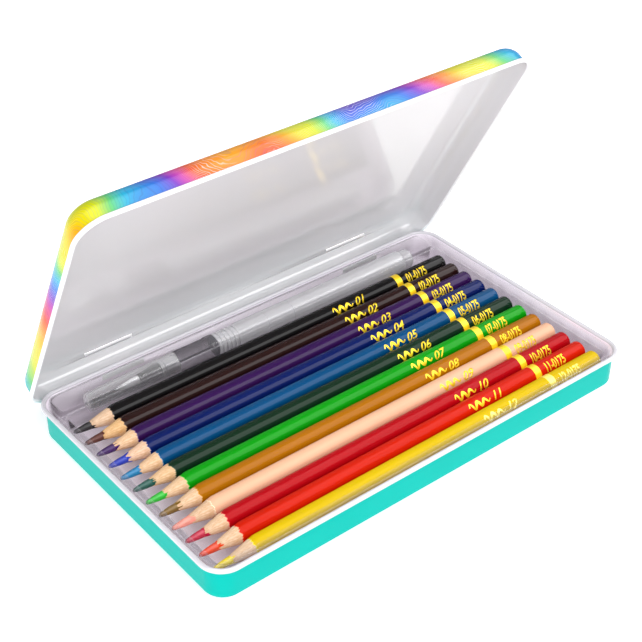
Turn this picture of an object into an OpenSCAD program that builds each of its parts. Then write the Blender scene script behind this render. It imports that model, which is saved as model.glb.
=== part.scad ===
// Hinged tin for twelve colored pencils and a water brush.
// Millimetres. +X runs from the pencils' points to their blunt ends, +Y to the hinges, +Z up.
// The origin is the centre of the base's flat underside.

/* [Base] */
// Height of the base to the top of its rim
base_h = 14.2; // [14:0.1:18]
// Outer corner radius of the rim
corner_r = 9.2; // [9:0.1:12]
// Thickness of the tinplate
sheet = 0.3; // [0.25:0.05:0.4]
// Radius of the base's rolled bead
base_bead_r = 0.9; // [0.8:0.05:1]
// Radius where the base's wall meets its floor
base_foot_r = 1.9; // [1.5:0.1:3]

/* [Lid] */
// Height of the lid from its rim to its top
lid_h = 10.8; // [10:0.1:12]
// Radius of the lid's top edge
lid_edge_r = 6.2; // [5:0.1:6.5]
// Radius of the lid's rolled bead
lid_bead_r = 0.8; // [0.7:0.05:0.9]
// Gap round the base's rim when the lid is shut
lid_side_gap = 0.35; // [0.3:0.05:0.5]
// Gap between the base's rim and the lid's round edge when the lid is shut
lid_top_gap = 0.15; // [0.1:0.05:0.25]
// Angle at which the lid stands open
lid_open = 62; // [0:1:110]

/* [Hinges] */
// Distance of each hinge's middle from the base's end
hinge_inset = 37; // [30:0.5:45]
// Radius of the hinge pins
pin_r = 0.55; // [0.5:0.05:0.6]
// Distance of the pins behind the base's rim
pin_back = 2.4; // [2.4:0.1:3]
// Height of the pins above the table
pin_z = 8.7; // [8.5:0.1:9.2]
// Thickness of the hinge leaves
leaf_t = 0.4; // [0.3:0.05:0.5]

/* [Tray] */
// Thickness of the clear tray
tray_t = 0.4; // [0.3:0.05:0.5]
// Depth of the tray's flange below the rim's top
tray_drop = 0.6; // [0.4:0.1:1]
// Width of the tray's flange at the pencils' points
flange_left = 1.9; // [1.5:0.1:4]
// Width of the tray's flange at the pencils' blunt ends
flange_right = 4.3; // [3:0.1:6]
// Width of the tray's flange along its front
flange_front = 1.8; // [1.5:0.1:4]
// Width of the tray's flange behind the brush
flange_rear = 0.5; // [0.5:0.1:2]
// Width of the ridge between the pencils and the brush
ridge_w = 1.9; // [1.5:0.1:4]
// Height of the pencil bay's floor
bay_floor_z = 4.7; // [4:0.1:5]
// Height of the brush channel's floor
channel_floor_z = 3.6; // [3:0.1:4]

/* [Pencils] */
// Diameter of a pencil
pencil_d = 7.3; // [7:0.1:7.4]
// Length of a pencil
pencil_l = 175; // [160:1:175]
// Gap between neighbouring pencils
pencil_gap = 0.4; // [0.3:0.05:1]
// Diameter of the lead
lead_d = 2.9; // [2.5:0.1:3.5]
// Length of the sharpened cone
cone_l = 17; // [14:0.5:20]

/* [Water brush] */
// Diameter of the reservoir
brush_d = 9.6; // [9:0.1:9.6]
// Length from the cap's end to the end plug
brush_l = 155.3; // [150:0.1:160]
// Room for the cap to be pulled off
cap_room = 12.4; // [11:0.1:16]
// Room behind the end plug
plug_room = 8.3; // [1:0.1:10]

/* [Hidden] */
$fn = 48;
eps = 0.01;
COLORS = ["black", "brown", "violet", "navy", "blue", "teal", "green", "ochre", "peach", "red", "orange", "yellow"];
RGB = [[0.08, 0.08, 0.08], [0.25, 0.12, 0.1], [0.3, 0.15, 0.5], [0.12, 0.18, 0.5], [0.1, 0.4, 0.8],
       [0.05, 0.3, 0.3], [0.1, 0.5, 0.2], [0.45, 0.42, 0.1], [0.95, 0.75, 0.65], [0.75, 0.05, 0.1],
       [0.9, 0.25, 0.1], [0.95, 0.85, 0.1]];
SIDES = ["left", "right"];

// Tray, which the pencils and the brush size
pencil_pitch = pencil_d + pencil_gap;
tray_gap = 1.1;
pencil_end_gap = 0.5;
bay_side_gap = 0.3;
brush_side_gap = 0.2;
brush_seat_gap = 0.4;
bay_w = max(pencil_l + 2 * pencil_end_gap, cap_room + brush_l + plug_room);
bay_d = len(COLORS) * pencil_pitch + 2 * bay_side_gap;
channel_d = brush_d + 2 * brush_side_gap;
tray_w = flange_left + bay_w + flange_right;
tray_d = flange_front + bay_d + ridge_w + channel_d + flange_rear;
bay_x0 = -tray_w / 2 + flange_left;            // inside of the pencil bay
bay_x1 = bay_x0 + bay_w;
bay_y0 = -tray_d / 2 + flange_front;
bay_y1 = bay_y0 + bay_d;
channel_y0 = bay_y1 + ridge_w;
channel_y1 = channel_y0 + channel_d;
// Base, which the tray sizes
base_lip = 2 * base_bead_r - sheet;            // how far the bead stands out from the wall
tin_w = tray_w + 2 * (tray_gap + base_lip + sheet);
tin_d = tray_d + 2 * (tray_gap + base_lip + sheet);
base_wall_out_y = tin_d / 2 - base_lip;        // outer face of the rear wall
hinge_x = tin_w / 2 - hinge_inset;             // from the tin's middle to each hinge's middle
// Lid, in its shut place
lid_lip = 2 * lid_bead_r - sheet;
lid_grow = lid_side_gap + sheet + lid_lip;     // how far the lid's rim stands out from the base's
lid_w = tin_w + 2 * lid_grow;
lid_d = tin_d + 2 * lid_grow;
lid_corner_r = corner_r + lid_grow;
lid_wall_out_y = lid_d / 2 - lid_lip;
// The shut lid's round edge sits just over the base's bead
rest_across = lid_edge_r - sheet - lid_side_gap - base_bead_r;
rest_reach = lid_edge_r - sheet - lid_top_gap - base_bead_r;
lid_z = base_h - base_bead_r - sqrt(rest_reach * rest_reach - rest_across * rest_across) + lid_edge_r - lid_h;
// Hinges
pin_y = tin_d / 2 + pin_back;
base_slot_w = 18.4;
base_slot_h = 1.2;
base_slot_z = base_h - 2 * base_bead_r - base_slot_h;   // underside of the base's slot
lid_slot_w = 20.6;
lid_slot_h = 1;
lid_slot_z = lid_z + lid_h - 1.8;                // underside of the shut lid's slot
pin_bore_gap = 0.02;
running_gap = 0.05;
knuckle_r = 1.15;
knuckle_gap = 0.3;
middle_knuckle_l = 8;
tab_t = 0.3;                                   // the base leaf's tab, folded down inside the wall
tab_h = 1.6;
bead_cut_w = lid_slot_w + 1;                   // the lid's bead is cut away at each hinge
// Tray's heights and corners
tray_top = base_h - tray_drop;
tray_foot_z = sheet;
tray_lip_z = 3;
tray_corner_r = corner_r - 2 * base_bead_r - tray_gap;
bay_r = 1.8;
rib_h = 1;
rib_w = 1;
// Pencils
tip_x = bay_x0 + pencil_end_gap;
pencil_z = bay_floor_z + pencil_d / 2;
lead_tip_r = 0.35;
// Water brush
brush_x = bay_x0 + cap_room;                   // outside of the cap's closed end
brush_y = (channel_y0 + channel_y1) / 2;
brush_z = channel_floor_z + brush_seat_gap + brush_d / 2;
cap_l = 38.5;
grip_l = 17.5;
collar_l = 10.5;
plug_l = 5.7;
cap_r = brush_d / 2 - 0.3;
grip_r = brush_d / 2 - 0.5;
nozzle_r = grip_r - 0.65;
reservoir_r = brush_d / 2;
grip_x = brush_x + cap_l;
collar_x = grip_x + grip_l;
plug_x = brush_x + brush_l - plug_l;

// A rectangle with round corners
module round_rect(w, d, r) {
    square([w, d - 2 * r], center = true);
    square([w - 2 * r, d], center = true);
    for (sx = [-1, 1], sy = [-1, 1])
        translate([sx * (w / 2 - r), sy * (d / 2 - r)]) circle(r);
}

// Runs a wall section round a rectangle of outer size w by d; x = 0 in the section is the corner's centre
module round_frame(w, d, r) {
    for (i = [0:3]) {
        along = i % 2 == 0 ? d - 2 * r : w - 2 * r;
        out = i % 2 == 0 ? w / 2 - r : d / 2 - r;
        rotate([0, 0, 90 * i]) translate([out, along / 2, 0]) {
            rotate([90, 0, 0]) linear_extrude(along) children();
            rotate_extrude(angle = 90) children();
        }
    }
}

// Section of a drawn pan that stands on its floor: floor, round foot, wall and rolled bead
module pan_section(r, h, foot, lip, bead) {
    wall_out = r - lip;
    square([wall_out - foot, sheet]);
    translate([wall_out - sheet, foot]) square([sheet, h - foot - bead]);
    translate([wall_out - foot, foot]) intersection() {
        difference() {
            circle(foot);
            circle(foot - sheet);
        }
        translate([0, -foot]) square(foot);
    }
    translate([r - bead, h - bead]) circle(bead);
}

module pan(w, d, r, h, foot, lip, bead) {
    round_frame(w, d, r) pan_section(r, h, foot, lip, bead);
    translate([-(w / 2 - r), -(d / 2 - r), 0]) cube([w - 2 * r, d - 2 * r, sheet]);
}

// Carries its children from the lid's shut place to its open one
module opened() {
    translate([0, pin_y, pin_z]) rotate([-lid_open, 0, 0]) translate([0, -pin_y, -pin_z]) children();
}

module base_tin() {
    color("turquoise") difference() {
        pan(tin_w, tin_d, corner_r, base_h, base_foot_r, base_lip, base_bead_r);
        for (sx = [-1, 1])
            translate([sx * hinge_x - base_slot_w / 2, base_wall_out_y - 2, base_slot_z])
                cube([base_slot_w, 3, base_slot_h]);
    }
}

module lid() {
    color("lightgray") opened() difference() {
        translate([0, 0, lid_z + lid_h]) mirror([0, 0, 1])
            pan(lid_w, lid_d, lid_corner_r, lid_h, lid_edge_r, lid_lip, lid_bead_r);
        for (sx = [-1, 1])
            translate([sx * hinge_x - lid_slot_w / 2, lid_wall_out_y - 5, lid_slot_z])
                cube([lid_slot_w, 6, lid_slot_h]);
        for (sx = [-1, 1])
            translate([sx * hinge_x - bead_cut_w / 2, lid_wall_out_y, lid_z - 1])
                cube([bead_cut_w, 3, 2 * lid_bead_r + 1.3]);
    }
}

// A tube round the pin's axis
module knuckle(l, bore) {
    rotate([0, 90, 0]) difference() {
        cylinder(h = l, r = knuckle_r, center = true);
        cylinder(h = l + 1, r = bore, center = true);
    }
}

module base_hinge_leaf(x) {
    leaf_w = base_slot_w - 0.4;
    face = base_wall_out_y;
    arm_z = lid_z - 1.3;
    color("silver") translate([x, 0, 0]) {
        translate([-leaf_w / 2, face, arm_z]) cube([leaf_w, leaf_t, base_slot_z + 0.7 - arm_z]);
        translate([-leaf_w / 2, face - sheet - tab_t, base_slot_z + 0.3])
            cube([leaf_w, sheet + tab_t + leaf_t, leaf_t]);
        translate([-leaf_w / 2, face - sheet - tab_t, base_slot_z + 0.3 - tab_h]) cube([leaf_w, tab_t, tab_h + eps]);
        translate([-middle_knuckle_l / 2, face, arm_z])
            cube([middle_knuckle_l, pin_y - face + leaf_t / 2, leaf_t]);
        translate([-middle_knuckle_l / 2, pin_y - leaf_t / 2, arm_z])
            cube([middle_knuckle_l, leaf_t, pin_z - knuckle_r - arm_z + 0.2]);
        translate([0, pin_y, pin_z]) knuckle(middle_knuckle_l, pin_r + pin_bore_gap);
    }
}

module lid_hinge_leaf(x) {
    leaf_w = lid_slot_w - 0.4;
    end_l = (leaf_w - middle_knuckle_l) / 2 - knuckle_gap;
    face = lid_wall_out_y;
    low_z = lid_z + 0.4;
    tongue_z = lid_slot_z + 0.3;
    color("silver") opened() translate([x, 0, 0]) {
        translate([-leaf_w / 2, face, low_z]) cube([leaf_w, leaf_t, tongue_z + leaf_t - low_z]);
        translate([-leaf_w / 2, face - 3.4, tongue_z]) cube([leaf_w, 3.4 + leaf_t, leaf_t]);
        for (s = [-1, 1]) {
            translate([s * (leaf_w - end_l) / 2, pin_y, pin_z]) knuckle(end_l, pin_r + running_gap);
            translate([s * (leaf_w - end_l) / 2 - end_l / 2, face, pin_z - leaf_t / 2])
                cube([end_l, pin_y - knuckle_r + 0.2 - face, leaf_t]);
        }
    }
}

module hinge_pin(x) {
    color("gray") translate([x, pin_y, pin_z]) rotate([0, 90, 0])
        cylinder(h = lid_slot_w, r = pin_r, center = true);
}

// A pocket of the tray from its floor to its flange, grown outwards by grow
module pocket(x0, x1, y0, y1, floor_z, grow) {
    translate([(x0 + x1) / 2, (y0 + y1) / 2, floor_z - grow])
        linear_extrude(tray_top - floor_z + grow + (grow == 0 ? 1 : 0))
            round_rect(x1 - x0 + 2 * grow, y1 - y0 + 2 * grow, bay_r + grow);
}

module both_pockets(grow) {
    pocket(bay_x0, bay_x1, bay_y0, bay_y1, bay_floor_z, grow);
    pocket(bay_x0, bay_x1, channel_y0, channel_y1, channel_floor_z, grow);
}

module tray() {
    flange_z = tray_top - tray_t;
    color("lavender", 0.4) {
        difference() {
            union() {
                translate([0, 0, flange_z]) linear_extrude(tray_t) round_rect(tray_w, tray_d, tray_corner_r);
                translate([0, 0, tray_lip_z]) linear_extrude(flange_z - tray_lip_z + eps) difference() {
                    round_rect(tray_w, tray_d, tray_corner_r);
                    round_rect(tray_w - 2 * tray_t, tray_d - 2 * tray_t, tray_corner_r - tray_t);
                }
                // the bay's wall runs on down to the tin's floor
                translate([(bay_x0 + bay_x1) / 2, (bay_y0 + bay_y1) / 2, tray_foot_z])
                    linear_extrude(bay_floor_z - tray_foot_z) difference() {
                        round_rect(bay_x1 - bay_x0 + 2 * tray_t, bay_y1 - bay_y0 + 2 * tray_t, bay_r + tray_t);
                        round_rect(bay_x1 - bay_x0, bay_y1 - bay_y0, bay_r);
                    }
                both_pockets(tray_t);
            }
            both_pockets(0);
        }
        // low ribs that keep the pencils apart
        for (i = [1:len(COLORS) - 1], x = [bay_x0 + 10, bay_x1 - 24])
            translate([x, pencil_y(i - 0.5) - rib_w / 2, bay_floor_z - eps]) cube([14, rib_w, rib_h]);
    }
}

// Middle of pencil i, counted from the rear
function pencil_y(i) = bay_y1 - bay_side_gap - pencil_pitch * (i + 0.5);

// Turns a profile drawn as [distance along X, radius] round a line along +X
module turned(points) {
    rotate([0, 90, 0]) rotate_extrude() polygon([for (p = points) [p[1], p[0]]]);
}

module pencil_barrel(i) {
    r = pencil_d / 2;
    lead_r = lead_d / 2;
    lead_x = cone_l * lead_r / r;              // where the wood starts along the cone
    end_gap = 2.5;                             // the lead stops short of the dipped end
    color(RGB[i]) translate([tip_x, pencil_y(i), pencil_z])
        turned([[lead_x, lead_r], [cone_l, r], [pencil_l - 0.8, r], [pencil_l, r - 0.8], [pencil_l, 0],
                [pencil_l - end_gap, 0], [pencil_l - end_gap, lead_r]]);
}

module pencil_lead(i) {
    r = pencil_d / 2;
    lead_r = lead_d / 2;
    color(RGB[i]) translate([tip_x, pencil_y(i), pencil_z])
        turned([[0, 0], [0, lead_tip_r], [cone_l * lead_r / r, lead_r], [pencil_l - 2.5, lead_r],
                [pencil_l - 2.5, 0]]);
}

module at_brush(x) {
    translate([x, brush_y, brush_z]) children();
}

module brush_cap() {
    wall = 0.6;
    end_r = cap_r - 0.8;
    color("white", 0.5) at_brush(brush_x)
        turned([[0, 0], [0, end_r - 0.8], [0.8, end_r], [cap_l - 0.2, cap_r], [cap_l - 0.2, cap_r - wall],
                [wall + 0.8, end_r - wall], [wall, end_r - wall - 0.8], [wall, 0]]);
}

module brush_bristles() {
    color("white") at_brush(brush_x + 12)
        turned([[0, 0], [0, 0.15], [5, 1.3], [8, 1.6], [13, 1.6], [13, 0]]);
}

module brush_ferrule() {
    color("dimgray") at_brush(brush_x + 22)
        turned([[0, 1.65], [0, 1.95], [8, 3.2], [9, 3.2], [9, 1.65]]);
}

module brush_nozzle() {
    l = grip_x - brush_x - 31.1;
    color("white", 0.5) at_brush(brush_x + 31.1)
        turned([[0, 1], [0, nozzle_r - 0.5], [0.6, nozzle_r], [1.2, nozzle_r - 0.5], [1.8, nozzle_r],
                [2.4, nozzle_r - 0.5], [4, nozzle_r - 0.6], [l, nozzle_r - 0.6], [l, 1]]);
}

module brush_grip() {
    pitch = 1.1;
    ribs = 12;
    color("dimgray", 0.7) at_brush(grip_x) difference() {
        turned([[0, 0.9], [0, grip_r], [grip_l - 3, grip_r], [grip_l - 3, grip_r + 0.25], [grip_l - 0.1, grip_r + 0.25],
                [grip_l - 0.1, 0.9]]);
        for (i = [0:ribs - 1])
            translate([0.6 + pitch * i, 0, 0])
                turned([[0, grip_r - 0.25], [0, grip_r + 1], [0.5, grip_r + 1], [0.5, grip_r - 0.25]]);
    }
}

module brush_reservoir() {
    wall = 0.7;
    l = plug_x - collar_x;
    color("white", 0.5) at_brush(collar_x) difference() {
        turned([[0, 0], [0, reservoir_r - 0.3], [collar_l, reservoir_r - 0.3], [collar_l + 0.6, reservoir_r],
                [l - 0.6, reservoir_r], [l, reservoir_r - 0.6], [l, 0]]);
        translate([1, 0, 0]) turned([[0, 0], [0, reservoir_r - 0.3 - wall - 0.5], [l, reservoir_r - 0.3 - wall - 0.5],
                                    [l, 0]]);
        for (i = [0:4])
            translate([1.1 + 1.9 * i, 0, 0])
                turned([[0, reservoir_r - 0.7], [0, reservoir_r], [0.7, reservoir_r], [0.7, reservoir_r - 0.7]]);
    }
}

module brush_end_plug() {
    neck_r = reservoir_r - 1.52;
    head_r = reservoir_r - 0.8;
    color("white", 0.5) at_brush(plug_x)
        turned([[-4, 0], [-4, neck_r], [0, neck_r], [0, head_r], [plug_l - 1.4, head_r], [plug_l - 0.4, head_r - 0.8],
                [plug_l, head_r - 2], [plug_l, 0]]);
}

base_tin();
lid();
tray();
for (i = [0:1]) base_hinge_leaf((2 * i - 1) * hinge_x);
for (i = [0:1]) lid_hinge_leaf((2 * i - 1) * hinge_x);
for (i = [0:1]) hinge_pin((2 * i - 1) * hinge_x);
for (i = [0:len(COLORS) - 1]) pencil_barrel(i);
for (i = [0:len(COLORS) - 1]) pencil_lead(i);
brush_cap();
brush_bristles();
brush_ferrule();
brush_nozzle();
brush_grip();
brush_reservoir();
brush_end_plug();
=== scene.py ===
"""Looks of a hinged tin of colored pencils with a water brush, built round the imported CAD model.

Lengths are millimetres in the row frame unless a line says otherwise; MM turns them into metres.
"""
import math
import random

import bmesh
import bpy
from mathutils import Matrix, Vector


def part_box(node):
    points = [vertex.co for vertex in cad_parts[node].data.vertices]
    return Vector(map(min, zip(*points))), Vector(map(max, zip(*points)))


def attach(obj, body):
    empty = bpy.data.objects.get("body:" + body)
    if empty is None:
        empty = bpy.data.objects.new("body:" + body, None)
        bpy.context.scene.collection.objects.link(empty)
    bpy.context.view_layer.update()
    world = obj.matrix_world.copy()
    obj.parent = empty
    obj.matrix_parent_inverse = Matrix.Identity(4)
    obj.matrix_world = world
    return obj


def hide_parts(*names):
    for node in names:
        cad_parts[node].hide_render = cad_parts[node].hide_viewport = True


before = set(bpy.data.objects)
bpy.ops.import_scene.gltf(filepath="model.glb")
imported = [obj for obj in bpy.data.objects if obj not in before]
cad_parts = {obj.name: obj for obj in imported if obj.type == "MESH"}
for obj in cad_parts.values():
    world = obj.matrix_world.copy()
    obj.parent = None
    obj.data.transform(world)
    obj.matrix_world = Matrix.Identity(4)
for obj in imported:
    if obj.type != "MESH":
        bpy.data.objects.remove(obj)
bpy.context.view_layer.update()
MM = 0.001

# ---------------------------------------------------------------- sizes, as in the CAD
SHEET = 0.3                                    # tinplate
BASE = dict(w=188.0, d=113.0, r=9.2, h=14.2, foot=1.9, bead=0.9)
LID = dict(w=191.9, d=116.9, r=11.15, h=10.8, foot=6.2, bead=0.8)
LID_TOP_GAP = 0.15                             # between the shut lid's rounding and the base's bead
LID_SIDE_GAP = 0.35
PIVOT = Vector((0, 58.9, 8.7))
LID_OPEN = 62.0                                # degrees from shut
HINGE_X = 57.0
BASE_SLOT = dict(w=18.4, h=1.2)
LID_SLOT = dict(w=20.6, h=1.0, down=1.8)       # down: from the lid's top to the slot's underside
BEAD_CUT = dict(w=21.6, h=1.9)                 # the lid's bead is cut away at each hinge
BAY = (-89.2, 86.8, -51.8, 41.2, 4.7)          # x0, x1, y0, y1, floor
CHANNEL = (-89.2, 86.8, 43.1, 53.1, 3.6)
BAY_R = 1.8
TRAY = dict(w=182.2, d=107.2, r=6.3, top=13.6, t=0.4, lip=3.0)
TRAY_EDGE_R = 0.8                              # rounding between the tray's flange and its skirt
RIB = dict(l=14.0, w=1.0, r=0.45, h=1.0, end=17.0)   # end: from the bay's end to the rib's middle
CONE_L = 17.0
PENCIL_L = 175.0
PENCIL_END_R = 0.9
LACQUER_X = CONE_L - 2.4                       # the lacquer's edge on the cone, from the pencil's point
LEAD_X, LEAD_TEETH = 6.5, 2.0                  # where the lead's colour ends, and its teeth's reach
FINE = 0.02                                    # a step too small to see, at an edge or between two skins
WELD = 1e-7                                    # metres: points nearer than this are made one


# ---------------------------------------------------------------- colours and nodes
def srgb(r, g, b, a=1.0):
    def lin(v):
        v /= 255
        return v / 12.92 if v <= 0.04045 else ((v + 0.055) / 1.055) ** 2.4
    return (lin(r), lin(g), lin(b), a)


class Nodes:
    """A material's node tree, built by short calls. Values may be numbers or sockets."""

    def __init__(self, name):
        self.mat = bpy.data.materials.new(name)
        self.mat.use_nodes = True
        self.tree = self.mat.node_tree
        self.bsdf = self.tree.nodes["Principled BSDF"]

    def add(self, kind, **settings):
        node = self.tree.nodes.new("ShaderNode" + kind)
        for key, value in settings.items():
            setattr(node, key, value)
        return node

    def put(self, socket, value):
        if isinstance(value, bpy.types.NodeSocket):
            self.tree.links.new(value, socket)
        else:
            socket.default_value = value

    def math(self, op, a, b=0.0, c=0.0, clamp=False):
        node = self.add("Math", operation=op, use_clamp=clamp)
        for socket, value in zip(node.inputs, (a, b, c)):
            self.put(socket, value)
        return node.outputs[0]

    def vmath(self, op, a, b=(0, 0, 0), scale=None):
        node = self.add("VectorMath", operation=op)
        self.put(node.inputs[0], a)
        if scale is None:
            self.put(node.inputs[1], b)
        else:
            self.put(node.inputs["Scale"], scale)
        return node.outputs[0]

    def place(self):
        """The point in the piece's own frame, in millimetres."""
        return self.vmath("SCALE", self.add("TexCoord").outputs["Object"], scale=1 / MM)

    def split(self, vector):
        node = self.add("SeparateXYZ")
        self.put(node.inputs[0], vector)
        return node.outputs

    def join(self, x, y, z):
        node = self.add("CombineXYZ")
        for socket, value in zip(node.inputs, (x, y, z)):
            self.put(socket, value)
        return node.outputs[0]

    def noise(self, vector, scale, detail=2.0, rough=0.5):
        node = self.add("TexNoise")
        self.put(node.inputs["Vector"], vector)
        node.inputs["Scale"].default_value = scale
        node.inputs["Detail"].default_value = detail
        node.inputs["Roughness"].default_value = rough
        return node

    def scaled(self, xyz, factors):
        return self.join(*[self.math("MULTIPLY", v, k) for v, k in zip(xyz, factors)])

    def mix(self, factor, a, b):
        node = self.add("Mix", data_type="RGBA")
        self.put(node.inputs[0], factor)
        self.put(node.inputs[6], a)
        self.put(node.inputs[7], b)
        return node.outputs[2]

    def ramp(self, factor, stops):
        node = self.add("ValToRGB")
        while len(node.color_ramp.elements) < len(stops):
            node.color_ramp.elements.new(0.5)
        for element, (where, colour) in zip(node.color_ramp.elements, stops):
            element.position = where
            element.color = colour
        self.put(node.inputs[0], factor)
        return node.outputs[0]

    def grade(self, value, lo, hi, out_lo=0.0, out_hi=1.0):
        node = self.add("MapRange", clamp=True)
        for socket, v in zip(node.inputs, (value, lo, hi, out_lo, out_hi)):
            self.put(socket, v)
        return node.outputs[0]

    def bump(self, height, strength, distance_mm):
        node = self.add("Bump")
        node.inputs["Strength"].default_value = strength
        node.inputs["Distance"].default_value = distance_mm * MM
        self.put(node.inputs["Height"], height)
        self.put(self.bsdf.inputs["Normal"], node.outputs[0])

    def set(self, **values):
        names = dict(color="Base Color", rough="Roughness", metal="Metallic", alpha="Alpha",
                     spec="Specular IOR Level", glow="Emission Color", glow_power="Emission Strength")
        for key, value in values.items():
            self.put(self.bsdf.inputs[names[key]], value)


def enamel(name, colour, rough, spec=0.5, tone=0.03, **more):
    """Baked enamel on tinplate, its skin not quite flat. tone: how strong the cloud in its colour is."""
    n = Nodes(name)
    p = n.place()
    if tone:
        cloud = n.noise(p, 0.03, 3).outputs[0]
        colour = n.mix(n.grade(cloud, 0.35, 0.65, 0, tone), colour, (0, 0, 0, 1))
    n.set(color=colour,
          rough=n.grade(n.noise(p, 0.05, 2).outputs[0], 0.3, 0.7, rough * 0.95, rough * 1.1),
          spec=spec, **more)
    n.bump(n.noise(p, 0.02, 1).outputs[0], 0.2, 0.05)
    return n.mat


def clear(name, tint, face, edge, rough=0.08, metal=0.0, haze=0.0):
    """Thin clear plastic. Its alpha is face when looked through squarely and edge at a glance."""
    n = Nodes(name)
    p = n.place()
    fresnel = n.add("LayerWeight")
    fresnel.inputs["Blend"].default_value = 0.35
    amount = n.grade(fresnel.outputs["Facing"], 0.0, 0.9, face, edge)
    cloud = n.noise(p, 0.12, 2).outputs[0]
    n.set(color=n.mix(n.grade(cloud, 0.3, 0.7, 0, 0.08), tint, (0.6, 0.6, 0.66, 1)),
          rough=rough, metal=metal,
          alpha=n.math("ADD", amount, n.grade(cloud, 0.4, 0.75, 0, haze), clamp=True))
    n.bump(n.noise(p, 0.25, 2).outputs[0], 0.2, 0.05)
    return n.mat


# ---------------------------------------------------------------- meshes
def make(name, verts, faces, mats, index=None, sharp=40):
    """An object from points in millimetres. index: each face's material; sharp: degrees."""
    me = bpy.data.meshes.new(name)
    me.from_pydata([Vector(v) * MM for v in verts], [], faces)
    for m in mats:
        me.materials.append(m)
    for k, polygon in enumerate(me.polygons):
        polygon.material_index = index[k] if index else 0
        polygon.use_smooth = True
    bm = bmesh.new()
    bm.from_mesh(me)
    bmesh.ops.remove_doubles(bm, verts=bm.verts, dist=WELD)
    bmesh.ops.recalc_face_normals(bm, faces=bm.faces)
    bm.to_mesh(me)
    bm.free()
    me.set_sharp_from_angle(angle=math.radians(sharp))
    ob = bpy.data.objects.new(name, me)
    bpy.context.scene.collection.objects.link(ob)
    return ob


def arc(cx, cz, r, a0, a1, n):
    """Points on a circle from angle a0 to a1, in degrees."""
    return [(cx + r * math.cos(math.radians(a0 + (a1 - a0) * k / n)),
             cz + r * math.sin(math.radians(a0 + (a1 - a0) * k / n))) for k in range(n + 1)]


def ring_points(hw, hd, r, cx=0.0, cy=0.0, n=14):
    """A rounded rectangle's outline, anticlockwise, with the same count of points whatever its size."""
    r = max(r, FINE)
    out = []
    for k, (sx, sy) in enumerate(((1, 1), (-1, 1), (-1, -1), (1, -1))):
        for x, y in arc(cx + sx * (hw - r), cy + sy * (hd - r), r, 90 * k, 90 * k + 90, n):
            out.append((x, y))
    return out


def band_faces(a, b, m):
    """Faces between two rings of m points that start at a and b."""
    return [(a + j, a + (j + 1) % m, b + (j + 1) % m, b + j) for j in range(m)]


def sweep(name, w, d, r, section, mats, cx=0.0, cy=0.0, flip=None, n=14):
    """Runs a section of (inset, z, material) points round a rounded rectangle w by d, and closes its ends.

    flip turns the section upside down: its z is then measured down from flip.
    """
    verts, faces, index = [], [], []
    for inset, z, _ in section:
        z = z if flip is None else flip - z
        verts += [(x, y, z) for x, y in ring_points(w / 2 - inset, d / 2 - inset, r - inset, cx, cy, n)]
    m = 4 * (n + 1)
    for k in range(len(section) - 1):
        faces += band_faces(k * m, (k + 1) * m, m)
        index += [section[k + 1][2]] * m
    last = (len(section) - 1) * m
    faces += [tuple(range(m)), tuple(range(last, last + m))]
    index += [section[0][2], section[-1][2]]
    return make(name, verts, faces, mats, index)


def lathe(name, points, centre, mat, n=64):
    """Turns (x, radius) points round a line along +X through centre."""
    verts, faces, rings = [], [], []
    for x, r in points:
        if r <= 1e-6:
            rings.append([len(verts)])
            verts.append((centre[0] + x, centre[1], centre[2]))
        else:
            rings.append(list(range(len(verts), len(verts) + n)))
            for k in range(n):
                a = 2 * math.pi * k / n
                verts.append((centre[0] + x, centre[1] - r * math.sin(a), centre[2] + r * math.cos(a)))
    for a, b in zip(rings, rings[1:]):
        for j in range(n):
            q = (j + 1) % n
            if len(a) == 1 and len(b) == 1:
                break
            if len(a) == 1:
                faces.append((a[0], b[q], b[j]))
            elif len(b) == 1:
                faces.append((a[j], a[q], b[0]))
            else:
                faces.append((a[j], a[q], b[q], b[j]))
    return make(name, verts, faces, [mat])


def block(x0, x1, y0, y1, z0, z1):
    verts = [(x, y, z) for x in (x0, x1) for y in (y0, y1) for z in (z0, z1)]
    faces = [(0, 1, 3, 2), (4, 6, 7, 5), (0, 4, 5, 1), (2, 3, 7, 6), (0, 2, 6, 4), (1, 5, 7, 3)]
    return make("cutter", verts, faces, [])


def bake(ob):
    """Applies every modifier on ob."""
    graph = bpy.context.evaluated_depsgraph_get()
    mesh = bpy.data.meshes.new_from_object(ob.evaluated_get(graph))
    ob.modifiers.clear()
    ob.data = mesh
    return ob


def cut(ob, cutters):
    """Takes the cutters out of a pan. The cut faces get the colour of its inside."""
    for c in cutters:
        for polygon in c.data.polygons:
            polygon.material_index = INSIDE
        mod = ob.modifiers.new("cut", "BOOLEAN")
        mod.operation, mod.solver, mod.object = "DIFFERENCE", "EXACT", c
    bpy.context.view_layer.update()
    bake(ob)
    for c in cutters:
        bpy.data.objects.remove(c)


def join(name, obs):
    """One object from several, with each material once."""
    bm = bmesh.new()
    mats = []
    for o in obs:
        start = len(bm.faces)
        bm.from_mesh(o.data)
        bm.faces.ensure_lookup_table()
        for m in o.data.materials:
            if m not in mats:
                mats.append(m)
        for f in bm.faces[start:]:
            f.material_index = mats.index(o.data.materials[f.material_index])
    me = bpy.data.meshes.new(name)
    bm.to_mesh(me)
    bm.free()
    for m in mats:
        me.materials.append(m)
    for o in obs:
        bpy.data.objects.remove(o)
    ob = bpy.data.objects.new(name, me)
    bpy.context.scene.collection.objects.link(ob)
    return ob


def finish_piece(ob, body, nodes):
    """Puts ob on its body, in the place of the CAD nodes that it dresses."""
    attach(ob, body)
    if nodes:
        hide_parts(*nodes)


OUTSIDE, RIM, INSIDE = 0, 1, 2                 # a pan's materials


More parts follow.
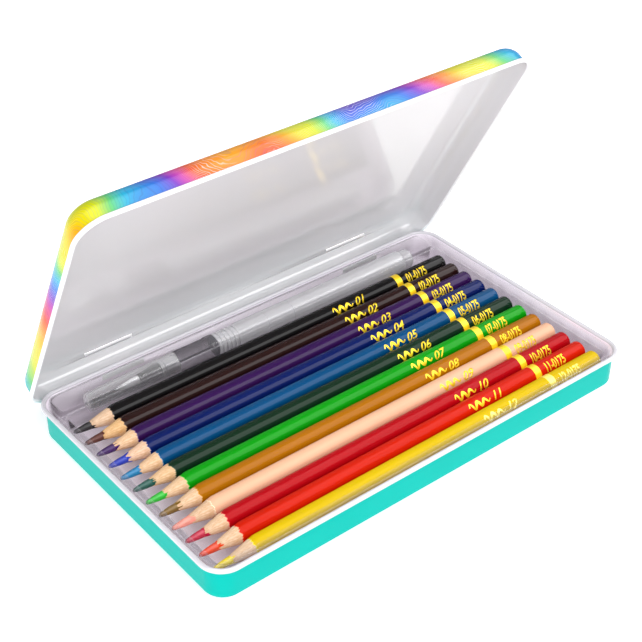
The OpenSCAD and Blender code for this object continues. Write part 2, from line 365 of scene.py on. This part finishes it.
def pan_section(h, foot, bead):
    """A drawn pan's section: from its floor outside, up the wall and over the bead, to its floor inside."""
    lip = 2 * bead - SHEET
    start = -math.degrees(math.acos((bead - SHEET) / bead))
    flat = lip + foot + 6                      # the section ends on the flat floor
    outer = arc(lip + foot, foot, foot, 270, 180, 12)
    roll = arc(bead, h - bead, bead, start, -360, 22)
    inner = arc(lip + foot, foot, foot - SHEET, 180, 270, 12)
    return ([(flat, 0, OUTSIDE)] + [(x, z, OUTSIDE) for x, z in outer] + [(lip, h - 3 * bead, OUTSIDE)]
            + [(x, z, RIM if k else OUTSIDE) for k, (x, z) in enumerate(roll)]
            + [(2 * bead, h - 2.4 * bead, INSIDE)] + [(x, z, INSIDE) for x, z in inner]
            + [(flat, SHEET, INSIDE)])


def slots(width, y0, y1, z0, height):
    """Cutters of that width at both hinges. y0 and y1 reach past the wall on either side."""
    return [block(x - width / 2, x + width / 2, y0, y1, z0, z0 + height) for x in (-HINGE_X, HINGE_X)]


# ---------------------------------------------------------------- base and lid
base_mats = [enamel("teal_enamel", srgb(2, 168, 157), 0.22, 0.05),
             enamel("rim_white", srgb(206, 204, 210), 0.2, 0.3),
             # the glow is the light that the white walls throw back and forth
             enamel("inside_white", srgb(242, 236, 245), 0.2, 0.4,
                    glow=srgb(240, 226, 240), glow_power=0.18)]
base = sweep("base_pan", BASE["w"], BASE["d"], BASE["r"],
             pan_section(BASE["h"], BASE["foot"], BASE["bead"]), base_mats, n=18)
slot_z = BASE["h"] - 2 * BASE["bead"] - BASE_SLOT["h"]
wall_y = BASE["d"] / 2 - (2 * BASE["bead"] - SHEET)
cut(base, slots(BASE_SLOT["w"], wall_y - 2, wall_y + 1, slot_z, BASE_SLOT["h"]))
finish_piece(base, "base", ["base_tin"])


def rainbow():
    """Printed sheet: soft marbled ribbons of colour with fine combed lines."""
    n = Nodes("rainbow_print")
    p = n.place()
    warp = n.noise(p, 0.014, 2).outputs["Color"]
    q = n.vmath("ADD", p, n.vmath("SCALE", n.vmath("SUBTRACT", warp, (0.5, 0.5, 0.5)), scale=120.0))
    fine = n.noise(p, 0.07, 3).outputs["Color"]
    q = n.vmath("ADD", q, n.vmath("SCALE", n.vmath("SUBTRACT", fine, (0.5, 0.5, 0.5)), scale=10.0))
    x, y, z = n.split(q)
    t = n.math("ADD", n.math("MULTIPLY", x, 1 / 95), n.math("MULTIPLY", n.math("ADD", y, z), 1 / 120))
    colours = [(112, 36, 176), (186, 56, 158), (218, 78, 36), (228, 140, 12), (208, 194, 6),
               (194, 204, 10), (84, 186, 104), (22, 162, 198), (38, 104, 200), (112, 36, 176)]
    stops = [(k / (len(colours) - 1), srgb(*c)) for k, c in enumerate(colours)]
    colour = n.ramp(n.math("FRACT", t), stops)
    # white combed lines in patches, and broader dark ones between the patches
    fine_comb = n.math("SINE", n.math("MULTIPLY", t, 2 * math.pi * 70))
    patch = n.grade(n.noise(p, 0.05, 2).outputs[0], 0.45, 0.62)
    light = n.math("MULTIPLY", n.grade(fine_comb, 0.8, 0.98, 0, 0.45), patch)
    colour = n.mix(light, colour, (1, 1, 1, 1))
    broad_comb = n.math("SINE", n.math("MULTIPLY", t, 2 * math.pi * 43))
    dark = n.math("MULTIPLY", n.grade(broad_comb, 0.6, 1.0, 0, 0.22), n.math("SUBTRACT", 1.0, patch))
    n.set(color=n.mix(dark, colour, srgb(40, 40, 120)), rough=0.25, spec=0.2)
    n.bump(n.noise(p, 0.02, 1).outputs[0], 0.2, 0.05)
    return n.mat


lid_mats = [rainbow(), enamel("lid_rim_white", srgb(238, 238, 242), 0.2, 0.4),
            enamel("lid_inside_grey", srgb(210, 209, 212), 0.1, 0.8, tone=0.0)]
# the shut lid's rounding rests just clear of the base's bead; the pan is built shut and then turned open
rest_r = LID["foot"] - SHEET - LID_TOP_GAP - BASE["bead"]
rest_x = LID["foot"] - SHEET - LID_SIDE_GAP - BASE["bead"]
LID_Z = BASE["h"] - BASE["bead"] - math.sqrt(rest_r ** 2 - rest_x ** 2) + LID["foot"] - LID["h"]
lid_top = LID_Z + LID["h"]
lid = sweep("lid_pan", LID["w"], LID["d"], LID["r"],
            pan_section(LID["h"], LID["foot"], LID["bead"]), lid_mats, flip=lid_top, n=20)
lid_wall = LID["d"] / 2 - (2 * LID["bead"] - SHEET)
cut(lid, slots(LID_SLOT["w"], lid_wall - 5, lid_wall + 1, lid_top - LID_SLOT["down"], LID_SLOT["h"])
    + slots(BEAD_CUT["w"], lid_wall, lid_wall + 3, LID_Z - 1, 1 + BEAD_CUT["h"]))
OPENING = (Matrix.Translation(PIVOT * MM) @ Matrix.Rotation(math.radians(-LID_OPEN), 4, "X")
           @ Matrix.Translation(-PIVOT * MM))
lid.matrix_world = OPENING
finish_piece(lid, "lid_body", ["lid"])


# ---------------------------------------------------------------- hinges
def steel(name, colour, rough):
    """Drawn wire: its grain runs along X."""
    n = Nodes(name)
    grain = n.noise(n.scaled(n.split(n.place()), (0.15, 3.0, 3.0)), 1.0, 4).outputs[0]
    n.set(color=n.mix(n.grade(grain, 0.3, 0.7, 0, 0.35), colour, srgb(150, 150, 155)), metal=1.0,
          rough=n.grade(grain, 0.3, 0.7, rough, rough * 1.5))
    n.bump(grain, 0.15, 0.02)
    return n.mat


# the hinge leaves are white, a painted stand-in for the bright light seen at the hinge slots
leaf_slot_light_mat = enamel("white_leaf_painted_slot_light", srgb(250, 250, 252), 0.35)
pin_mat = steel("pin_wire", srgb(200, 200, 204), 0.2)
for name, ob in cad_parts.items():
    if "hinge" in name:
        ob.data.materials.clear()
        ob.data.materials.append(pin_mat if "pin" in name else leaf_slot_light_mat)
        for polygon in ob.data.polygons:
            polygon.use_smooth = False


# ---------------------------------------------------------------- tray
def quarter(steps):
    """Angles of a quarter turn, in radians."""
    return [math.radians(90 * k / steps) for k in range(steps + 1)]


def pocket_rings(x0, x1, y0, y1, floor, top, lip_r=0.35, foot_r=1.1, draft=0.5):
    """Rings of a thermoformed pocket from its lip to its floor: (half width, half depth, radius, z)."""
    hw, hd = (x1 - x0) / 2, (y1 - y0) / 2
    out = []
    for a in quarter(5):
        o = lip_r * (1 - math.sin(a))
        out.append((hw + o, hd + o, BAY_R + o, top - lip_r * (1 - math.cos(a))))
    drop = (top - lip_r) - (floor + foot_r)
    out.append((hw - draft / 2, hd - draft / 2, BAY_R - draft / 2, floor + foot_r + drop / 2))
    for a in quarter(6):
        o = draft + foot_r * (1 - math.cos(a))
        out.append((hw - o, hd - o, max(BAY_R - o, 1.0), floor + foot_r * (1 - math.sin(a))))
    return out


LIP_FOLD, FOOT_FOLD, EDGE_FOLD = (1, 2, 3), (8, 9, 10, 11, 12), (2, 3)   # spans between rings that take the fold material, whose whiter tone is a painted highlight


def tray_sheet():
    """The tray's upper skin, to be thickened downwards: (points, faces, 1 for each face on a fold)."""
    top = TRAY["top"]
    verts, faces, folds = [], [], []
    n = 12
    m = 4 * (n + 1)

    def add_rings(rings, cx, cy, floor, highlit):
        first = len(verts)
        for hw, hd, r, z in rings:
            verts.extend((x, y, z) for x, y in ring_points(hw, hd, r, cx, cy, n))
        for k in range(len(rings) - 1):
            faces.extend(band_faces(first + k * m, first + (k + 1) * m, m))
            folds.extend([int(k in highlit)] * m)
        if floor:
            faces.append(tuple(range(first + (len(rings) - 1) * m, first + len(rings) * m)))
            folds.append(0)
        return list(range(first, first + m))

    loops = []
    for x0, x1, y0, y1, floor in (BAY, CHANNEL):
        rings = pocket_rings(x0, x1, y0, y1, floor, top)
        loops.append(add_rings(rings, (x0 + x1) / 2, (y0 + y1) / 2, True, LIP_FOLD + FOOT_FOLD))
    skirt = []
    for a in quarter(5):
        o = TRAY_EDGE_R * (1 - math.sin(a))
        z = top - TRAY_EDGE_R * (1 - math.cos(a))
        skirt.append((TRAY["w"] / 2 - o, TRAY["d"] / 2 - o, TRAY["r"] - o, z))
    skirt.append((TRAY["w"] / 2, TRAY["d"] / 2, TRAY["r"], TRAY["lip"]))
    loops.append(add_rings(skirt, 0, 0, False, EDGE_FOLD))
    # the flat flange between the two pockets and the skirt
    bm = bmesh.new()
    for v in verts:
        bm.verts.new(v)
    bm.verts.ensure_lookup_table()
    for f in faces:
        bm.faces.new([bm.verts[k] for k in f])
    edges = []
    for loop in loops:
        for a, b in zip(loop, loop[1:] + loop[:1]):
            edges.append(bm.edges.get((bm.verts[a], bm.verts[b])))
    bmesh.ops.triangle_fill(bm, use_beauty=True, use_dissolve=False, edges=edges)
    bm.verts.index_update()
    points, all_faces = [v.co[:] for v in bm.verts], [[v.index for v in f.verts] for f in bm.faces]
    bm.free()
    return points, all_faces, folds + [0] * (len(all_faces) - len(folds))


tray_mat = clear("tray_clear_plastic", srgb(234, 222, 238), 0.01, 0.035, haze=0.004)
# the folds' material is whiter and more opaque than the sheet: a painted highlight along each fold
fold_highlight_mat = clear("tray_folds_painted_highlight", srgb(248, 246, 252), 0.05, 0.3, metal=0.05)
verts, faces, folds = tray_sheet()
tray = make("tray_shell", verts, faces, [tray_mat, fold_highlight_mat], folds, sharp=60)
mod = tray.modifiers.new("thick", "SOLIDIFY")
mod.thickness, mod.offset = TRAY["t"] * MM * 0.9, -1
mod = tray.modifiers.new("weights", "WEIGHTED_NORMAL")
mod.keep_sharp = True
bpy.context.view_layer.update()
bake(tray)

# (name, lacquer, lead, bare wood)
COLOURS = [("black", (12, 10, 11), (40, 38, 40), (232, 205, 178)),
           ("brown", (38, 16, 14), (92, 46, 36), (233, 196, 148)),
           ("violet", (48, 14, 74), (62, 24, 92), (236, 204, 170)),
           ("navy", (4, 24, 88), (34, 56, 176), (236, 204, 178)),
           ("blue", (2, 72, 120), (12, 124, 176), (234, 202, 168)),
           ("teal", (12, 42, 24), (30, 84, 74), (230, 198, 160)),
           ("green", (6, 150, 12), (34, 182, 44), (232, 202, 168)),
           ("ochre", (170, 104, 2), (118, 88, 26), (232, 202, 170)),
           ("peach", (236, 184, 150), (242, 152, 134), (228, 198, 168)),
           ("red", (176, 6, 18), (188, 28, 62), (232, 202, 172)),
           ("orange", (204, 30, 4), (228, 66, 20), (236, 206, 176)),
           ("yellow", (222, 188, 6), (236, 212, 10), (236, 210, 182))]


def pencil_y(i):
    lo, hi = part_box(COLOURS[i][0] + "_pencil_barrel")
    return (lo.y + hi.y) / 2 / MM


# low ribs between the pencils, near both ends of the bay
rib_section = [(0, BAY[4] - 0.1, 0), (0.05, BAY[4] + 0.7 * RIB["h"], 0), (0.25, BAY[4] + RIB["h"], 0)]
ribs = []
# the ribs take the folds' whiter material too, a painted highlight
for i in range(1, len(COLOURS)):
    y = (pencil_y(i - 1) + pencil_y(i)) / 2
    for x in (BAY[0] + RIB["end"], BAY[1] - RIB["end"]):
        ribs.append(sweep("rib", RIB["l"], RIB["w"], RIB["r"], rib_section, [fold_highlight_mat], cx=x, cy=y, n=4))
tray = join("tray_shell", [tray] + ribs)
finish_piece(tray, "tray_body", ["tray"])


# ---------------------------------------------------------------- pencils
def pencil_material(i, centre):
    """Lacquer down to a wavy edge on the cone, wood below it, and a ragged start of the lead."""
    name, lacquer, lead, wood = COLOURS[i]
    n = Nodes(f"{name}_pencil_finish")
    x, y, z = n.split(n.place())
    # yy and zz: across the pencil from its axis
    yy, zz = n.math("SUBTRACT", y, centre[1]), n.math("SUBTRACT", z, centre[2])
    x, angle = n.math("SUBTRACT", x, centre[0]), n.math("ARCTAN2", yy, zz)
    around = n.join(0.0, yy, zz)
    wob = n.noise(n.vmath("ADD", around, (i * 9.0, 0, 0)), 0.55, 1).outputs[0]
    waves = n.math("ADD", n.math("MULTIPLY", angle, 6.0 + i % 3), n.math("MULTIPLY", wob, 9.0))
    scallop = n.math("ABSOLUTE", n.math("SINE", waves))
    edge = n.math("ADD", n.math("ADD", LACQUER_X, n.math("MULTIPLY", scallop, 0.5)),
                  n.math("MULTIPLY", n.math("SUBTRACT", wob, 0.5), 1.4))
    painted = n.math("GREATER_THAN", x, edge)
    skin = n.math("GREATER_THAN", x, n.math("ADD", edge, 0.22))
    # wood: long fibres and darker pores
    fibre = n.noise(n.scaled((x, yy, zz), (0.10, 1.6, 1.6)), 1.3, 6, 0.65).outputs[0]
    pore = n.noise(n.scaled((x, yy, zz), (0.6, 5.0, 5.0)), 1.0, 2).outputs[0]
    grain = srgb(wood[0] - 26, wood[1] - 42, wood[2] - 56)
    timber = n.mix(n.grade(fibre, 0.35, 0.7), srgb(*wood), grain)
    timber = n.mix(n.grade(pore, 0.58, 0.72, 0, 0.35), timber, srgb(170, 120, 84))
    # lead: its edge bites into the wood in blunt teeth
    teeth = n.noise(n.vmath("ADD", around, (i * 5.0 + 2, 0, 0)), 1.1, 1).outputs[0]
    is_lead = n.math("LESS_THAN", x, n.math("ADD", LEAD_X, n.grade(teeth, 0.38, 0.66, 0.0, LEAD_TEETH)))
    bare = n.mix(is_lead, timber, srgb(*lead))
    # lacquer: a paler thin edge, and a slow drift of tone along the pencil
    paint = n.mix(skin, srgb(*[min(255, v + 60) for v in lacquer]), srgb(*lacquer))
    drift = n.noise(n.join(n.math("MULTIPLY", x, 0.05), yy, zz), 0.4, 2).outputs[0]
    paint = n.mix(n.grade(drift, 0.3, 0.7, 0, 0.1), paint, (0, 0, 0, 1))
    n.set(color=n.mix(painted, bare, paint),
          rough=n.mix(painted, (0.62, 0.62, 0.62, 1), (0.13, 0.13, 0.13, 1)),
          spec=0.15 - 0.009 * i)               # the darker pencils, at the back, are the glossier ones
    height = n.mix(painted, fibre, n.math("ADD", 0.9, n.math("MULTIPLY", drift, 0.2)))
    n.bump(height, 0.5, 0.06)
    return n.mat


def lead_material(i):
    name, _, lead, _ = COLOURS[i]
    n = Nodes(f"{name}_lead_wax")
    scrape = n.noise(n.scaled(n.split(n.place()), (0.4, 2.5, 2.5)), 1.0, 4).outputs[0]
    dark = srgb(*[v * 0.6 for v in lead])
    n.set(color=n.mix(n.grade(scrape, 0.35, 0.7, 0, 0.35), srgb(*lead), dark), rough=0.5, spec=0.4)
    n.bump(scrape, 0.5, 0.08)
    return n.mat


def foil_material(name, colour, rough=0.3):
    """Hot-stamped foil: partly metal, with fine wrinkles."""
    n = Nodes(name)
    wrinkle = n.noise(n.place(), 1.2, 4).outputs[0]
    n.set(color=n.mix(n.grade(wrinkle, 0.35, 0.7, 0, 0.3), colour, srgb(190, 140, 20)),
          metal=0.3, rough=rough, spec=0.3)
    n.bump(wrinkle, 0.35, 0.05)
    return n.mat


foil_gold = foil_material("foil_gold", srgb(240, 206, 30))
foil_pale = foil_material("foil_pale", srgb(250, 236, 110), 0.4)


def flat_text(body, size, bold=0.0, shear=0.0):
    """Figures as a flat mesh in millimetres."""
    curve = bpy.data.curves.new("figures", "FONT")
    curve.body, curve.size, curve.offset, curve.shear = body, size, bold, shear
    curve.resolution_u = 4
    ob = bpy.data.objects.new("figures", curve)
    bpy.context.scene.collection.objects.link(ob)
    bpy.context.view_layer.update()
    me = bpy.data.meshes.new_from_object(ob.evaluated_get(bpy.context.evaluated_depsgraph_get()))
    bpy.data.objects.remove(ob)
    return me


def ribbon(points, width):
    """A flat band along points, of that width at its middle and narrower towards its ends."""
    me = bpy.data.meshes.new("band")
    verts, faces = [], []
    for k, (x, y) in enumerate(points):
        a, b = points[max(k - 1, 0)], points[min(k + 1, len(points) - 1)]
        t = Vector((b[0] - a[0], b[1] - a[1])).normalized()
        w = width * (0.35 + 0.65 * math.sin(math.pi * (k + 0.5) / len(points))) / 2
        verts += [(x - t.y * w, y + t.x * w, 0), (x + t.y * w, y - t.x * w, 0)]
    for k in range(len(points) - 1):
        faces.append((2 * k, 2 * k + 1, 2 * k + 3, 2 * k + 2))
    me.from_pydata(verts, [], faces)
    return me


def wrap(name, parts, centre, radius, middle, mat):
    """Lays flat meshes on a barrel, round the angle middle.

    parts: (mesh, x, up, x scale, y scale).
    """
    step = 0.35                                # the outlines are cut this finely to follow the curve
    bm = bmesh.new()
    for me, dx, dy, sx, sy in parts:
        part = bmesh.new()
        part.from_mesh(me)
        for v in part.verts:
            v.co = Vector((v.co.x * sx + dx, v.co.y * sy + dy, 0))
        for k in range(-14, 15):
            bmesh.ops.bisect_plane(part, geom=part.verts[:] + part.edges[:] + part.faces[:],
                                   plane_co=(0, k * step, 0), plane_no=(0, 1, 0))
        tmp = bpy.data.meshes.new("part")
        part.to_mesh(tmp)
        part.free()
        bm.from_mesh(tmp)
        bpy.data.meshes.remove(tmp)
    for v in bm.verts:
        a = middle - v.co.y / radius
        across, height = radius * math.sin(a), radius * math.cos(a)
        v.co = Vector((centre[0] + v.co.x, centre[1] - across, centre[2] + height)) * MM
    bmesh.ops.remove_doubles(bm, verts=bm.verts, dist=WELD)
    me = bpy.data.meshes.new(name)
    bm.to_mesh(me)
    bm.free()
    me.materials.append(mat)
    ob = bpy.data.objects.new(name, me)
    bpy.context.scene.collection.objects.link(ob)
    mod = ob.modifiers.new("thick", "SOLIDIFY")
    mod.thickness, mod.offset = 0.05 * MM, 0
    bpy.context.view_layer.update()
    return bake(ob)


WAVE_X, SCRIPT_X, TALL_X = 115.3, 126.1, 153.6   # the foil marks' starts, from the pencil's point
BAND = (148.2, 151.25)
MARK_ANGLE, MARK_SPREAD = 46, 6                  # degrees forward of the top, and how far they stray


def foil_marks(i, centre, r, mat):
    """A wavy flourish with the pencil's number, a plain band, and tall figures behind the band."""
    number = f"{i + 1:02d}"
    script = flat_text(number, 4.2, 0.06, 0.35)
    tall = flat_text(f"{number}-0175", 5.0, 0.14)
    wave = ribbon([(0.22 * k, 1.3 * math.sin(k * 0.42) * (1 - k / 90)) for k in range(46)], 1.0)
    parts = [(wave, WAVE_X, 0.0, 1, 1.1), (script, SCRIPT_X, -1.5, 1.2, 1.15),
             (tall, TALL_X, -1.85, 0.64, 1.1)]
    middle = math.radians(MARK_ANGLE + rng.uniform(-MARK_SPREAD, MARK_SPREAD))
    marks = wrap(f"{COLOURS[i][0]}_foil_marks", parts, centre, r + 0.03, middle, mat)
    x0, x1 = BAND
    band = lathe("band", [(x0, r - FINE), (x0 + 0.05, r + 0.04), (x1 - 0.05, r + 0.04), (x1, r - FINE)],
                 centre, mat, n=72)
    return join(f"{COLOURS[i][0]}_foil_marks", [marks, band])


def barrel_points(r, lead_x, lead_r):
    """A pencil's outline from where the lead leaves the wood to the dipped end."""
    points = [(lead_x, lead_r - FINE), (lead_x + 0.01, lead_r)]
    points += [(lead_x + (CONE_L - lead_x) * k / 6, lead_r + (r - lead_r) * k / 6) for k in range(1, 6)]
    points += [(CONE_L, r - FINE), (CONE_L + 0.15, r)] + [(CONE_L + 20 * k, r) for k in range(1, 8)]
    flat, rim = PENCIL_L - PENCIL_END_R, r - PENCIL_END_R
    points += [(flat + PENCIL_END_R * math.sin(a), rim + PENCIL_END_R * math.cos(a)) for a in quarter(6)]
    return points + [(PENCIL_L - FINE, r * 0.5), (PENCIL_L - FINE, 0)]


def lead_points(lead_x, lead_r):
    """The lead's blunt point, and a little of it inside the wood."""
    tip = [(0.0, 0), (0.05, 0.35), (0.35, 0.62), (1.0, 0.82), (2.5, 1.05), (4.5, 1.3),
           (lead_x, lead_r), (lead_x + 4, lead_r), (lead_x + 4, 0)]
    return [(x, min(q, lead_r)) for x, q in tip]


rng = random.Random(11)
for i, (name, _, _, _) in enumerate(COLOURS):
    lead_lo, lead_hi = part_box(f"{name}_pencil_lead")
    lo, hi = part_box(f"{name}_pencil_barrel")
    centre = (lead_lo.x / MM, (lo.y + hi.y) / 2 / MM, (lo.z + hi.z) / 2 / MM)
    r = (hi.z - lo.z) / 2 / MM
    lead_r = (lead_hi.z - lead_lo.z) / 2 / MM
    lead_x = CONE_L * lead_r / r
    body = f"{name}_pencil"
    ob = lathe(f"{name}_pencil_body", barrel_points(r, lead_x, lead_r), centre,
               pencil_material(i, centre), n=72)
    finish_piece(ob, body, [f"{name}_pencil_barrel"])
    ob = lathe(f"{name}_lead_point", lead_points(lead_x, lead_r), centre, lead_material(i), n=40)
    finish_piece(ob, body, [f"{name}_pencil_lead"])
    marks = foil_marks(i, centre, r, foil_pale if name == "yellow" else foil_gold)
    finish_piece(marks, body, ())


# ---------------------------------------------------------------- water brush
frosted = clear("frosted_plastic", srgb(240, 240, 243), 0.3, 0.8, rough=0.2, metal=0.05, haze=0.06)
cap_mat = clear("cap_plastic", srgb(250, 250, 252), 0.03, 0.6, rough=0.1, metal=0.1, haze=0.02)
smoke = clear("smoke_plastic", srgb(92, 92, 97), 0.22, 0.7, rough=0.12)
cone_mat = clear("cone_smoke", srgb(20, 20, 23), 0.85, 0.97, rough=0.2)
FLUTES, FLUTE_DEPTH, GRIP_COLLAR = 36, 0.2, 3.0   # round the grip; the collar is its plain rear end


def bristle_material():
    n = Nodes("white_bristles")
    hair = n.noise(n.scaled(n.split(n.place()), (0.06, 7, 7)), 1.0, 3).outputs[0]
    n.set(color=n.mix(n.grade(hair, 0.3, 0.7), srgb(252, 252, 252), srgb(214, 214, 218)), rough=0.45)
    n.bump(hair, 0.6, 0.15)
    return n.mat


def flute(ob, centre, length):
    """Sinks two of every four points round the grip, up to its plain rear collar."""
    for v in ob.data.vertices:
        along = v.co.x / MM - centre[0]
        off = Vector((0, v.co.y - centre[1] * MM, v.co.z - centre[2] * MM))
        step = round(math.atan2(off.y, off.z) / (2 * math.pi) * 4 * FLUTES) % 4
        if 0.5 < along < length - GRIP_COLLAR - 0.1 and step < 2:
            v.co -= off.normalized() * FLUTE_DEPTH * MM


def brush_piece(node, name, profile, body, mat, n=56):
    """Dresses a node of the brush by turning profile(length, radius)."""
    lo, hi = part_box(node)
    centre = (lo.x / MM, (lo.y + hi.y) / 2 / MM, (lo.z + hi.z) / 2 / MM)
    length, r = (hi.x - lo.x) / MM, (hi.z - lo.z) / 2 / MM
    ob = lathe(name, profile(length, r), centre, mat, n=n)
    if node == "brush_grip":
        flute(ob, centre, length)
    finish_piece(ob, body, [node])


def cap_profile(end, r):
    return [(0, 0), (0, r - 2.2), (0.12, r - 1.8), (0.5, r - 1.2), (1.0, r - 0.85), (8, r - 0.7),
            (end - 1.6, r - 0.15), (end - 1.5, r), (end - 0.2, r), (end, r - 0.15), (end, r - 0.6),
            (4, r - 1.45), (1.6, r - 1.6), (1.0, r - 2.4), (1.0, 0)]


def bristle_profile(end, r):
    return [(0, 0), (0.05, 0.12), (2, 0.6), (5, 1.3), (8, r - 0.05), (10, r), (end, r), (end, 0)]


def cone_profile(end, r):
    bore = 1.62
    return [(0, bore), (0, 1.85), (0.2, 1.98), (3, 2.3), (7.6, r - 0.05), (8.2, r), (end, r), (end, bore)]


def collar_profile(end, r):
    """Two rings with a groove between them, then the thread's plain neck."""
    bore = 1.0
    return [(0, bore), (0, r - 0.5), (0.2, r - 0.1), (0.6, r), (0.95, r - 0.3), (1.2, r - 0.45),
            (1.5, r - 0.3), (1.8, r), (2.2, r - 0.2), (2.4, r - 0.5), (4, r - 0.6), (end, r - 0.6),
            (end, bore)]


def grip_profile(end, r):
    bore, skin = 0.9, r - 0.25
    collar = end - GRIP_COLLAR
    return [(0, bore), (0, r - 0.6), (0.15, skin), (0.6, skin), (collar - 0.2, skin), (collar, skin),
            (collar + 0.1, r), (end - 0.2, r), (end, r - 0.2), (end, bore)]


def reservoir_profile(end, r):
    """Five grooves behind the grip, two fine lines round the barrel, and an open rear end."""
    neck, bore = r - 0.3, r - 1.5
    points = [(0, 0), (0, r - 0.5), (0.2, neck)]
    for k in range(5):
        x = 1.1 + 1.9 * k
        points += [(x, neck), (x + 0.15, r - 0.85), (x + 0.65, r - 0.85), (x + 0.72, neck)]
    points += [(10.6, neck), (11.2, r)]
    for x in (22.9, 35.2):
        points += [(x, r), (x + 0.1, r - 0.12), (x + 0.4, r - 0.12), (x + 0.5, r)]
    return points + [(end - 1.0, r), (end - 0.3, r - 0.2), (end, r - 0.6), (end, bore), (1, bore), (1, 0)]


def plug_profile(end, r):
    return [(0, 0), (0, r - 0.72), (4, r - 0.72), (4, r - 0.1), (4.2, r), (8.0, r), (8.9, r - 0.5),
            (end - 0.2, r - 1.6), (end, r - 2.2), (end, 0)]


brush_piece("brush_cap", "brush_cap_shell", cap_profile, "brush_cap_body", cap_mat, n=64)
brush_piece("brush_bristles", "brush_hair", bristle_profile, "brush_head",
            bristle_material(), n=48)
brush_piece("brush_ferrule", "brush_cone", cone_profile, "brush_head", cone_mat)
brush_piece("brush_nozzle", "brush_collar", collar_profile, "brush_head", frosted)
brush_piece("brush_grip", "brush_grip_ribbed", grip_profile, "brush_head",
            smoke, n=4 * FLUTES)
brush_piece("brush_reservoir", "brush_barrel", reservoir_profile, "brush_handle",
            frosted, n=64)
brush_piece("brush_end_plug", "brush_stopper", plug_profile, "brush_handle", frosted)


# ---------------------------------------------------------------- floor, light and camera
def floor():
    bpy.ops.mesh.primitive_plane_add(size=6, location=(0, 0, 0))
    ob = bpy.context.object
    ob.name = "floor"
    n = Nodes("studio_floor")
    n.set(color=(0.93, 0.93, 0.94, 1), rough=0.9, spec=0.1, glow=(1, 1, 1, 1), glow_power=0.5)
    ob.data.materials.append(n.mat)


def area(name, place, target, size, power, glossy=True, diffuse=True):
    """A soft rectangular light; place, target and size in metres. glossy, diffuse: what it lights."""
    light = bpy.data.lights.new(name, "AREA")
    light.shape, light.size, light.size_y, light.energy = "RECTANGLE", size[0], size[1], power
    ob = bpy.data.objects.new(name, light)
    bpy.context.scene.collection.objects.link(ob)
    ob.location = place
    ob.rotation_euler = (Vector(target) - Vector(place)).to_track_quat("-Z", "Y").to_euler()
    ob.visible_glossy, ob.visible_diffuse = glossy, diffuse


floor()
world = bpy.data.worlds.new("studio")
bpy.context.scene.world = world
world.use_nodes = True
world.node_tree.nodes["Background"].inputs[0].default_value = (1, 1, 1, 1)
world.node_tree.nodes["Background"].inputs[1].default_value = 0.25
area("sheen_panel", (0.7, -0.4, 1.0), (0.7, -0.4, 0), (2.6, 1.5), 64, diffuse=False)
area("back_panel", (1.0, 1.15, 1.05), (0.05, 0, 0), (1.1, 0.9), 4, diffuse=False)
area("overhead", (0.3, -0.5, 1.0), (0, 0, 0), (2.0, 1.2), 17, glossy=False)
area("front_fill", (-0.2, -1.2, 0.35), (0, 0, 0.05), (2.0, 0.6), 8, glossy=False)
area("left_fill", (-1.2, -0.2, 0.35), (0, 0, 0.05), (1.2, 0.6), 10, glossy=False)

CAM_AZ, CAM_EL, CAM_ROLL = -38.9, 35.44, 0.17  # degrees
CAM_DIST, CAM_TARGET = 560.4, (28.76, 44.79, 0.0)
CAM_F, PICTURE, SENSOR = 1399.7, 642, 36       # focal length and width in pixels, sensor in millimetres
a, e, roll = math.radians(-CAM_AZ), math.radians(CAM_EL), math.radians(CAM_ROLL)
fwd = Vector((math.sin(a) * math.cos(e), math.cos(a) * math.cos(e), -math.sin(e)))
right = fwd.cross(Vector((0, 0, 1))).normalized()
up = right.cross(fwd)
cx = math.cos(roll) * right + math.sin(roll) * up
cy = -math.sin(roll) * right + math.cos(roll) * up
cam = bpy.data.cameras.new("camera")
cam.sensor_width, cam.sensor_fit, cam.lens = SENSOR, "HORIZONTAL", CAM_F * SENSOR / PICTURE
cam.clip_start, cam.clip_end = 0.01, 20
cam_ob = bpy.data.objects.new("camera", cam)
bpy.context.scene.collection.objects.link(cam_ob)
where = (Vector(CAM_TARGET) - CAM_DIST * fwd) * MM
cam_ob.matrix_world = Matrix.Translation(where) @ Matrix((cx, cy, -fwd)).transposed().to_4x4()
bpy.context.scene.camera = cam_ob
bpy.context.scene.view_settings.view_transform = "Standard"

bpy.context.view_layer.update()
